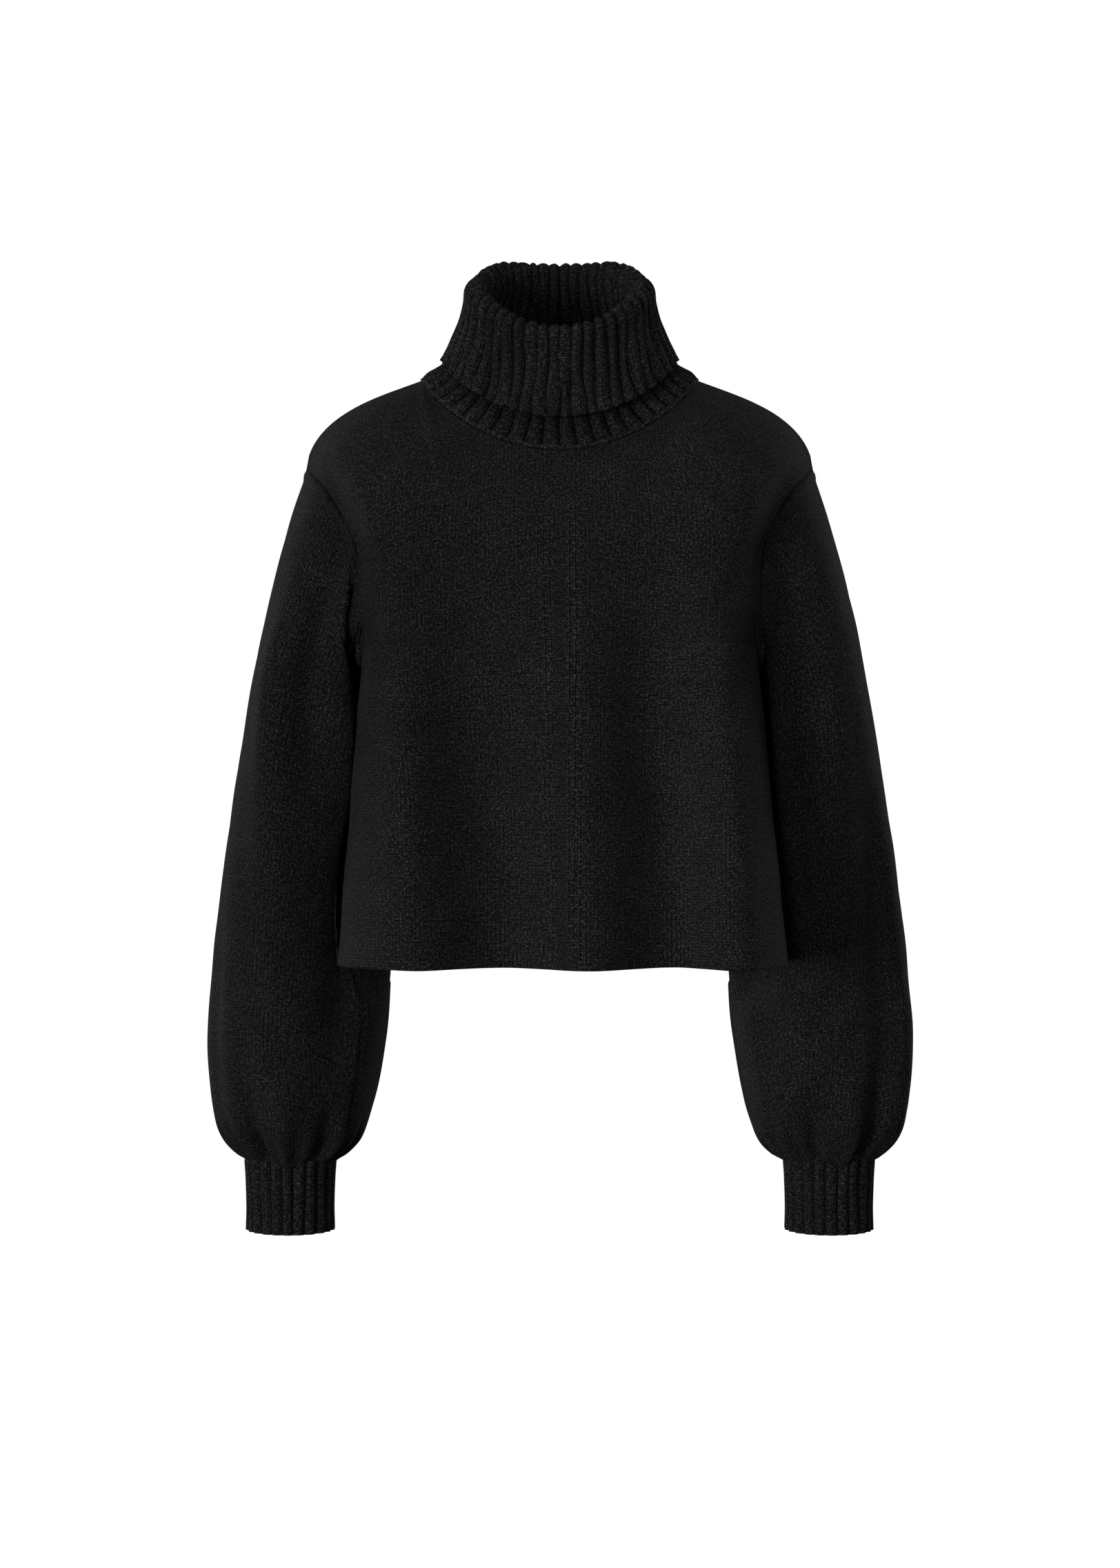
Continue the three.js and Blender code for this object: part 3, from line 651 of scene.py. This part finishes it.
# ribbed pieces
ribPhases = [0, 0.05, 0.11, 0.19, 0.3, 0.43, 0.57, 0.7, 0.81, 0.89, 0.95]


def ribHeight(i):
    # wide rounded ribs between narrow grooves, -1 to 1 over one repeat
    return 1 - 2 * abs(2 * ribPhases[i % len(ribPhases)] - 1) ** 1.9


collar = {
    "ribs": 48,
    "rows": 76,
    "ribDepth": 2.7,
    "thickness": 2.4,
    "scallop": 2.2,  # how far a groove's end stays short of a rib's
    "curl": 0.6,  # how far the free edge turns out
    "crowding": 0.15,  # ribs closer together in the middle of the free edge
    "rings": [
        {"part": "base", **neckSeam},
        {"part": "flare", "halfWidth": 87, "front": -85, "back": 68,
         "frontZ": -43, "sideZ": 11, "backZ": 28},
        {"part": "stand", "halfWidth": 68.5, "front": -73, "back": 60,
         "frontZ": -12, "sideZ": 36, "backZ": 55},
        {"part": "throat", "halfWidth": 60, "front": -60, "back": 57,
         "frontZ": 14, "sideZ": 61, "backZ": 80},
        {"part": "inner", "halfWidth": 61.6, "front": -61.7, "back": 58.5,
         "frontZ": 26, "sideZ": 71, "backZ": 92.5},
        {"part": "fold", "halfWidth": 67, "front": -67, "back": 63.8,
         "frontZ": 31, "sideZ": 77, "backZ": 98},
        {"part": "outer", "halfWidth": 72.2, "front": -72.8, "back": 69.3,
         "frontZ": 25.5, "sideZ": 71, "backZ": 92.5},
        {"part": "turn", "halfWidth": 73.6, "front": -75.6, "back": 71.6,
         "frontZ": 12, "sideZ": 60, "backZ": 78},
        {"part": "drape", "halfWidth": 78.4, "front": -82.5, "back": 74,
         "frontZ": -8, "sideZ": 42, "backZ": 58},
        {"part": "edge", "halfWidth": 91.6, "front": -96, "back": 81,
         "frontZ": -41.5, "sideZ": 12, "backZ": 30},
    ],
}


def addPath(rings):
    # distance along the cloth at the collar's side, from the neck seam
    path = 0
    for i, ring in enumerate(rings):
        if ring["part"] != "base":
            ring["bow"] = 1.45
            ring["level"] = {"flare": 0, "stand": 0.5, "drape": 0.5, "edge": 0}.get(ring["part"], 1)
        if i:
            before = rings[i - 1]
            path += hypot(ring["halfWidth"] - before["halfWidth"], ring["sideZ"] - before["sideZ"])
        ring["path"] = path
    return path


def makeCollar(material):
    rings = collar["rings"]
    fullPath = addPath(rings)
    around = collar["ribs"] * len(ribPhases)
    rows = collar["rows"]
    look = {
        "node": "collar",
        "slot": "rib",
        "closed": True,
        "smoothing": 2,
        "wales": "ribs",
        "seamColumn": around,
        "flatWidth": collar["ribs"] * 4 * ribGauge["waleWidth"],
        "thickness": collar["thickness"],
        "offset": 0,
        "freeRows": [rows],
        "inside": lambda point: Vector((0, 0, point.z)),
        "flat": (0.48, 0.21),
        "area": None,
        "restsOn": [],
    }

    def pointAt(i, j):
        share = j / rows
        turn = ribShare(i, around)
        sway = 0.26 * drift(11 * cos(2 * pi * turn), 11 * sin(2 * pi * turn), 5 * share) / collar["ribs"]
        crowd = mix(0.05, -collar["crowding"], ease(share, 0.45, 1)) * sin(4 * pi * (turn - 0.25)) / (4 * pi)
        short = collar["scallop"] * (1 - ribHeight(i)) / 2 * ease(share, 0.95, 1)
        ring = readTable(rings, "path", share * fullPath - short)
        return tiltedRing(ring, turn + (sway + crowd) * ease(share, 0.02, 0.3))

    bm, places = makeSheet("collar", around, rows, pointAt, look)
    lowest = places[around // 4, rows]
    outward = 1 if lowest.normal.y < 0 else -1  # which way the turned-over face points

    def relief(i, j):
        path = fullPath * j / rows
        rib = ribHeight(i)
        fade = ease(path, 0, 9)
        curl = collar["curl"] * ease(path, fullPath - 5, fullPath)
        # ribs stand up on the face that shows: the stand's outside first, its other face once turned over
        shown = mix(-1, 1, ease(path, rings[1]["path"], rings[2]["path"]))
        atBack = max(-sin(2 * pi * i / around), 0)
        shown *= 1 - 0.5 * atBack * swell(path - rings[5]["path"], 12)  # the back's fold is pulled smoother
        return outward * (collar["ribDepth"] * rib * shown * fade + curl) + 0.3 * drift(i / 9, path / 16, 5)

    raiseRelief(bm, places, relief)
    return finishSheet(bm, places, "collarTube", material, look)


cuff = {
    "ribs": 22,
    "rows": 30,
    "top": -626,
    "length": 63,
    "tilt": 2,
    "ribDepth": 2.2,
    "centreX": 221.2,
    "centreY": 92,
    "levels": [
        {"drop": 0, "halfWidth": 33.6, "halfDepth": 29.6},
        {"drop": 0.08, "halfWidth": 34.6, "halfDepth": 31},
        {"drop": 0.3, "halfWidth": 33.8, "halfDepth": 30.4},
        {"drop": 0.7, "halfWidth": 33, "halfDepth": 29.8},
        {"drop": 1, "halfWidth": 33.4, "halfDepth": 30.4},
    ],
}


def makeCuff(name, side, material):
    around = cuff["ribs"] * len(ribPhases)
    look = {
        "node": name,
        "slot": "rib",
        "closed": True,
        "smoothing": 0,
        "wales": "ribs",
        "seamColumn": around,
        "flatWidth": cuff["ribs"] * 4 * ribGauge["waleWidth"],
        "thickness": 2.6,
        "offset": 0,
        "freeRows": [cuff["rows"]],
        "inside": lambda point: Vector((side * cuff["centreX"], cuff["centreY"], point.z)),
        "flat": (0.22, 0.06),
        "area": None,
        "restsOn": [],
    }

    def pointAt(i, j):
        share = j / cuff["rows"]
        sway = 0.12 * drift(i / 12, share * 1.5, side) / cuff["ribs"]
        angle = 2 * pi * (ribShare(i, around) + sway)
        level = readTable(cuff["levels"], "drop", share)
        x = level["halfWidth"] * cos(angle)
        y = level["halfDepth"] * sin(angle)
        drop = share * (cuff["length"] - cuff["tilt"] * sin(angle))
        return Vector((side * cuff["centreX"] + x, cuff["centreY"] + y, cuff["top"] - drop))

    bm, places = makeSheet(name, around, cuff["rows"], pointAt, look)

    def relief(i, j):
        return cuff["ribDepth"] * ribHeight(i) * ease(j, 0, 3)

    raiseRelief(bm, places, relief)
    return finishSheet(bm, places, name + "Tube", material, look)


# materials
knitGauge = {"waleWidth": 3.2, "courseHeight": 2.3}  # one stitch of the plain cloth
ribGauge = {"waleWidth": 2.5, "courseHeight": 2.2}  # one stitch of the ribbed pieces


def linear(hexColour):
    # sRGB hex to linear colour
    channels = [int(hexColour[i:i + 2], 16) / 255 for i in (1, 3, 5)]
    return [c / 12.92 if c <= 0.04045 else ((c + 0.055) / 1.055) ** 2.4 for c in channels] + [1]


def addNode(tree, kind, inputs=None, **settings):
    # a node with its settings, and each input linked or set
    node = tree.nodes.new(kind)
    for name, value in settings.items():
        setattr(node, name, value)
    for socket, value in (inputs or {}).items():
        if isinstance(value, bpy.types.NodeSocket):
            tree.links.new(value, node.inputs[socket])
        else:
            node.inputs[socket].default_value = value
    return node


def woolKnit(name, look):
    material = bpy.data.materials.new(name)
    material.use_nodes = True
    tree = material.node_tree
    tree.nodes.clear()
    uv = addNode(tree, "ShaderNodeUVMap", uv_map="knit").outputs[0]
    # uneven hand of the yarn: stitches wander by a fraction of a millimetre
    uneven = addNode(tree, "ShaderNodeTexNoise", {"Vector": uv, "Scale": 0.3, "Detail": 2.0}).outputs["Color"]
    shift = addNode(tree, "ShaderNodeVectorMath",
                    {0: uneven, 1: (0.5, 0.5, 0.5)}, operation="SUBTRACT").outputs[0]
    shift = addNode(tree, "ShaderNodeVectorMath",
                    {0: shift, "Scale": look["uneven"]}, operation="SCALE").outputs[0]
    place = addNode(tree, "ShaderNodeVectorMath", {0: uv, 1: shift}, operation="ADD").outputs[0]
    parts = addNode(tree, "ShaderNodeSeparateXYZ", {0: place})
    wale = addNode(tree, "ShaderNodeMath",
                   {0: parts.outputs[0], 1: look["waleWidth"]}, operation="DIVIDE").outputs[0]
    course = addNode(tree, "ShaderNodeMath",
                     {0: parts.outputs[1], 1: look["courseHeight"]}, operation="DIVIDE").outputs[0]
    # each stitch is a V: two legs that lean together towards its foot
    fromEdge = addNode(tree, "ShaderNodeMath", {0: wale, 1: 0.5}, operation="PINGPONG").outputs[0]
    lean = addNode(tree, "ShaderNodeMath",
                   {0: fromEdge, 1: look["lean"], 2: course}, operation="MULTIPLY_ADD").outputs[0]
    turn = addNode(tree, "ShaderNodeMath", {0: lean, 1: 2 * pi}, operation="MULTIPLY").outputs[0]
    strand = addNode(tree, "ShaderNodeMath", {0: turn}, operation="SINE").outputs[0]
    strand = addNode(tree, "ShaderNodeMath",
                     {0: strand, 1: 0.28, 2: 0.72}, operation="MULTIPLY_ADD").outputs[0]
    legTurn = addNode(tree, "ShaderNodeMath", {0: fromEdge, 1: 2 * pi}, operation="MULTIPLY").outputs[0]
    leg = addNode(tree, "ShaderNodeMath", {0: legTurn}, operation="SINE").outputs[0]
    leg = addNode(tree, "ShaderNodeMath", {0: leg, 1: 0.55}, operation="POWER").outputs[0]
    join = addNode(tree, "ShaderNodeMapRange", {0: fromEdge, 1: 0.2, 2: 0.5, 4: look["join"]}).outputs[0]
    leg = addNode(tree, "ShaderNodeMath", {0: leg, 1: join}, operation="MAXIMUM").outputs[0]
    stitch = addNode(tree, "ShaderNodeMath", {0: strand, 1: leg}, operation="MULTIPLY").outputs[0]
    fibre = addNode(tree, "ShaderNodeTexNoise",
                    {"Vector": uv, "Scale": 1.6, "Detail": 3.0, "Roughness": 0.7}).outputs[0]
    height = addNode(tree, "ShaderNodeMath",
                     {0: fibre, 1: 0.5, 2: stitch}, operation="MULTIPLY_ADD").outputs[0]
    relief = addNode(tree, "ShaderNodeBump",
                     {"Strength": look["relief"], "Distance": 0.8 * mm, "Height": height})
    # painted shade between the strands and along the edges of the wale columns, and each stitch takes the
    # mixed yarn a little differently
    legs = addNode(tree, "ShaderNodeCombineXYZ", {0: wale, 1: lean}).outputs[0]
    legs = addNode(tree, "ShaderNodeVectorMath", {0: legs}, operation="FLOOR").outputs[0]
    legs = addNode(tree, "ShaderNodeTexWhiteNoise", {"Vector": legs}, noise_dimensions="2D").outputs[0]
    legs = addNode(tree, "ShaderNodeMapRange",
                   {0: legs, 3: 1 - look["mixture"], 4: 1 + look["mixture"]}).outputs[0]
    # painted shade along the edges of each wale column, down to the between factor
    columns = addNode(tree, "ShaderNodeMapRange",
                      {0: fromEdge, 1: 0.03, 2: 0.3, 3: look["between"], 4: 1.2}).outputs[0]
    legs = addNode(tree, "ShaderNodeMath", {0: legs, 1: columns}, operation="MULTIPLY").outputs[0]
    # painted crevice shade: the colour falls to the deep colour where the stitch's relief is low
    shade = addNode(tree, "ShaderNodeMapRange", {0: stitch, 1: 0.3, 2: 0.95}).outputs[0]
    colour = addNode(tree, "ShaderNodeMix", {0: shade, 6: linear(look["deep"]), 7: linear(look["yarn"])},
                     data_type="RGBA").outputs[2]
    colour = addNode(tree, "ShaderNodeVectorMath", {0: colour, "Scale": legs}, operation="SCALE").outputs[0]
    # paler fibres, as specks of a millimetre or two
    speck = addNode(tree, "ShaderNodeTexNoise",
                    {"Vector": uv, "Scale": 0.55, "Detail": 3.0, "Roughness": 0.75}).outputs[0]
    speck = addNode(tree, "ShaderNodeMapRange", {0: speck, 1: 0.5, 2: 0.71}).outputs[0]
    speck = addNode(tree, "ShaderNodeMath", {0: speck, 1: look["specks"]}, operation="MULTIPLY").outputs[0]
    colour = addNode(tree, "ShaderNodeMix",
                     {0: speck, 6: colour, 7: linear(look["fleck"])}, data_type="RGBA").outputs[2]
    patch = addNode(tree, "ShaderNodeTexNoise", {"Vector": uv, "Scale": 0.03, "Detail": 3.0}).outputs[0]
    patch = addNode(tree, "ShaderNodeMapRange", {0: patch, 1: 0.3, 2: 0.7, 3: 0.84, 4: 1.12}).outputs[0]
    colour = addNode(tree, "ShaderNodeVectorMath", {0: colour, "Scale": patch}, operation="SCALE").outputs[0]
    if look["ribWidth"]:
        # painted shade in the grooves between ribs, all but the row of stitches that joins the rib to the
        # plain knit
        ribPlace = addNode(tree, "ShaderNodeMath", {0: parts.outputs[0], 1: look["ribWidth"] / 2},
                           operation="PINGPONG").outputs[0]
        groove = addNode(tree, "ShaderNodeMapRange",
                         {0: ribPlace, 1: 0.4, 2: 2.0, 3: look["groove"]}).outputs[0]
        joining = addNode(tree, "ShaderNodeMapRange",
                          {0: parts.outputs[1], 1: 2.4, 2: 3.6, 3: 1.0, 4: 0.0}).outputs[0]
        groove = addNode(tree, "ShaderNodeMath", {0: groove, 1: joining}, operation="MAXIMUM").outputs[0]
        joining = addNode(tree, "ShaderNodeMath",
                          {0: joining, 1: 0.4, 2: 1.0}, operation="MULTIPLY_ADD").outputs[0]
        groove = addNode(tree, "ShaderNodeMath", {0: groove, 1: joining}, operation="MULTIPLY").outputs[0]
        colour = addNode(tree, "ShaderNodeVectorMath",
                         {0: colour, "Scale": groove}, operation="SCALE").outputs[0]
    shader = addNode(tree, "ShaderNodeBsdfPrincipled", {
        "Base Color": colour,
        "Roughness": 0.93,
        "Specular IOR Level": 0.08,
        "Sheen Weight": look["nap"],
        "Sheen Roughness": 0.45,
        "Sheen Tint": linear("#b9b9bd"),
        "Normal": relief.outputs[0],
    })
    addNode(tree, "ShaderNodeOutputMaterial", {0: shader.outputs[0]})
    return material


# wool and nylon stocking stitch: matt black V stitches with a slight nap and paler fibres
stockingStitch = woolKnit("woolStockingStitch", {
    "waleWidth": knitGauge["waleWidth"],
    "courseHeight": knitGauge["courseHeight"],
    "lean": 1.5,
    "join": 0.55,
    "ribWidth": None,
    "uneven": 0.35,
    "relief": 1.0,
    # deep: the painted shade colour for the hollows between strands
    "deep": "#030303",
    "yarn": "#262627",
    "fleck": "#585858",
    "specks": 0.7,
    "mixture": 0.4,
    # between: painted shade at the edges of the wale columns
    "between": 0.35,
    "nap": 0.02,
})
# the same yarn in two by two rib: thicker, with painted shade in its grooves
ribStitch = woolKnit("woolTwoByTwoRib", {
    "waleWidth": ribGauge["waleWidth"],
    "courseHeight": ribGauge["courseHeight"],
    "lean": 1.5,
    "join": 0.45,
    "ribWidth": 4 * ribGauge["waleWidth"],
    # groove: painted shade in the grooves between ribs
    "groove": 0.2,
    "uneven": 0.8,
    "relief": 1.0,
    # deep: the painted shade colour for the hollows between strands
    "deep": "#040404",
    "yarn": "#262627",
    "fleck": "#565656",
    "specks": 0.75,
    "mixture": 0.4,
    # between: painted shade at the edges of the wale columns
    "between": 0.7,
    "nap": 0.02,
})

makePanel("front", -1, stockingStitch)
makePanel("back", 1, stockingStitch)
makeSleeve("sleeve_right", -1, stockingStitch)
makeSleeve("sleeve_left", 1, stockingStitch)
makeCollar(ribStitch)
makeCuff("cuff_right", -1, ribStitch)
makeCuff("cuff_left", 1, ribStitch)


# stage
studio = {"floor": -1.42, "backWall": 4.6, "wallHeight": 5, "halfWidth": 4.5, "frontEdge": -2.2, "curve": 0.9}


def makeBackdrop():
    # a pale floor that curves up into a back wall
    bm = bmesh.new()
    corners = [(x, studio["frontEdge"], studio["floor"]) for x in (-studio["halfWidth"], studio["halfWidth"])]
    left, right = [bm.verts.new(corner) for corner in corners]
    edge = bm.edges.new((left, right))
    depth = studio["backWall"] - studio["frontEdge"]
    floorEdge = bmesh.ops.extrude_edge_only(bm, edges=[edge])["geom"]
    moved = [part for part in floorEdge if isinstance(part, bmesh.types.BMVert)]
    bmesh.ops.translate(bm, vec=(0, depth, 0), verts=moved)
    fold = [part for part in floorEdge if isinstance(part, bmesh.types.BMEdge)]
    wallEdge = bmesh.ops.extrude_edge_only(bm, edges=fold)["geom"]
    moved = [part for part in wallEdge if isinstance(part, bmesh.types.BMVert)]
    bmesh.ops.translate(bm, vec=(0, 0, studio["wallHeight"]), verts=moved)
    bmesh.ops.bevel(bm, geom=fold, offset=studio["curve"], segments=16,
                    profile=0.5, affect="EDGES", material=-1)
    bmesh.ops.recalc_face_normals(bm, faces=bm.faces)
    mesh = bpy.data.meshes.new("backdrop")
    bm.to_mesh(mesh)
    bm.free()
    for polygon in mesh.polygons:
        polygon.use_smooth = True
    backdrop = bpy.data.objects.new("backdrop", mesh)
    bpy.context.collection.objects.link(backdrop)
    paper = bpy.data.materials.new("whitePaper")
    paper.use_nodes = True
    tree = paper.node_tree
    tree.nodes.clear()
    seen = addNode(tree, "ShaderNodeLightPath").outputs["Is Camera Ray"]
    strength = addNode(tree, "ShaderNodeMapRange", {0: seen, 3: 0.03, 4: 1.0}).outputs[0]
    glow = addNode(tree, "ShaderNodeEmission", {"Color": linear("#ffffff"), "Strength": strength})
    addNode(tree, "ShaderNodeOutputMaterial", {0: glow.outputs[0]})
    mesh.materials.append(paper)


def aimLamp(light, location, target):
    lamp = bpy.data.objects.new(light.name, light)
    lamp.visible_camera = False
    bpy.context.collection.objects.link(lamp)
    lamp.location = location
    lamp.rotation_euler = (Vector(target) - Vector(location)).to_track_quat("-Z", "Y").to_euler()


def addLight(name, power, size, location, target):
    light = bpy.data.lights.new(name, "AREA")
    light.energy = power
    light.shape = "RECTANGLE"
    light.size, light.size_y = size
    aimLamp(light, location, target)


def addSpot(name, power, cone, location, target):
    light = bpy.data.lights.new(name, "SPOT")
    light.energy = power
    light.spot_size = radians(cone)
    light.spot_blend = 0.9
    light.shadow_soft_size = 0.3
    aimLamp(light, location, target)


def makeStudio():
    makeBackdrop()
    world = bpy.data.worlds.new("studio")
    world.use_nodes = True
    tree = world.node_tree
    tree.nodes.clear()
    seen = addNode(tree, "ShaderNodeLightPath").outputs["Is Camera Ray"]
    strength = addNode(tree, "ShaderNodeMapRange", {0: seen, 3: 0.12, 4: 1.0}).outputs[0]
    sky = addNode(tree, "ShaderNodeBackground", {"Color": linear("#ffffff"), "Strength": strength})
    addNode(tree, "ShaderNodeOutputWorld", {0: sky.outputs[0]})
    bpy.context.scene.world = world
    addLight("keyBox", 138, (2.6, 1.8), (-3.45, -4.0, -0.45), (0, 0, -0.35))
    addLight("fillBox", 20, (2.6, 2.6), (3.4, -3.9, 0.2), (0, 0, -0.35))
    addSpot("lowLamp", 120, 15, (-2.4, -3.2, -0.5), (-0.03, 0, -0.68))
    addSpot("sleeveLamp", 350, 7, (-0.35, -3.6, -0.2), (0.29, 0, -0.28))
    for side in (-1, 1):
        addLight("backBox", 60, (1.6, 1.6), (side * 2.9, 3.0, 0.5), (0, 0, -0.35))
    addLight("topBox", 11, (1.6, 1.2), (-0.2, -0.6, 1.9), (0, 0, -0.2))


photo = {"width": 1624, "height": 2273, "perPixel": 0.55, "centreX": 811.5, "neckRow": 548, "distance": 3.0}


def makeCamera():
    distance = photo["distance"]
    data = bpy.data.cameras.new("photoCamera")
    data.sensor_width = 36
    data.lens = data.sensor_width * distance / (photo["height"] * photo["perPixel"] * mm)
    camera = bpy.data.objects.new("photoCamera", data)
    bpy.context.collection.objects.link(camera)
    x = (photo["width"] / 2 - photo["centreX"]) * photo["perPixel"] * mm
    z = (photo["neckRow"] - photo["height"] / 2) * photo["perPixel"] * mm
    camera.location = (x, -distance, z)
    camera.rotation_euler = (pi / 2, 0, 0)
    bpy.context.scene.camera = camera


makeCamera()
makeStudio()
bpy.context.scene.view_settings.view_transform = "Standard"
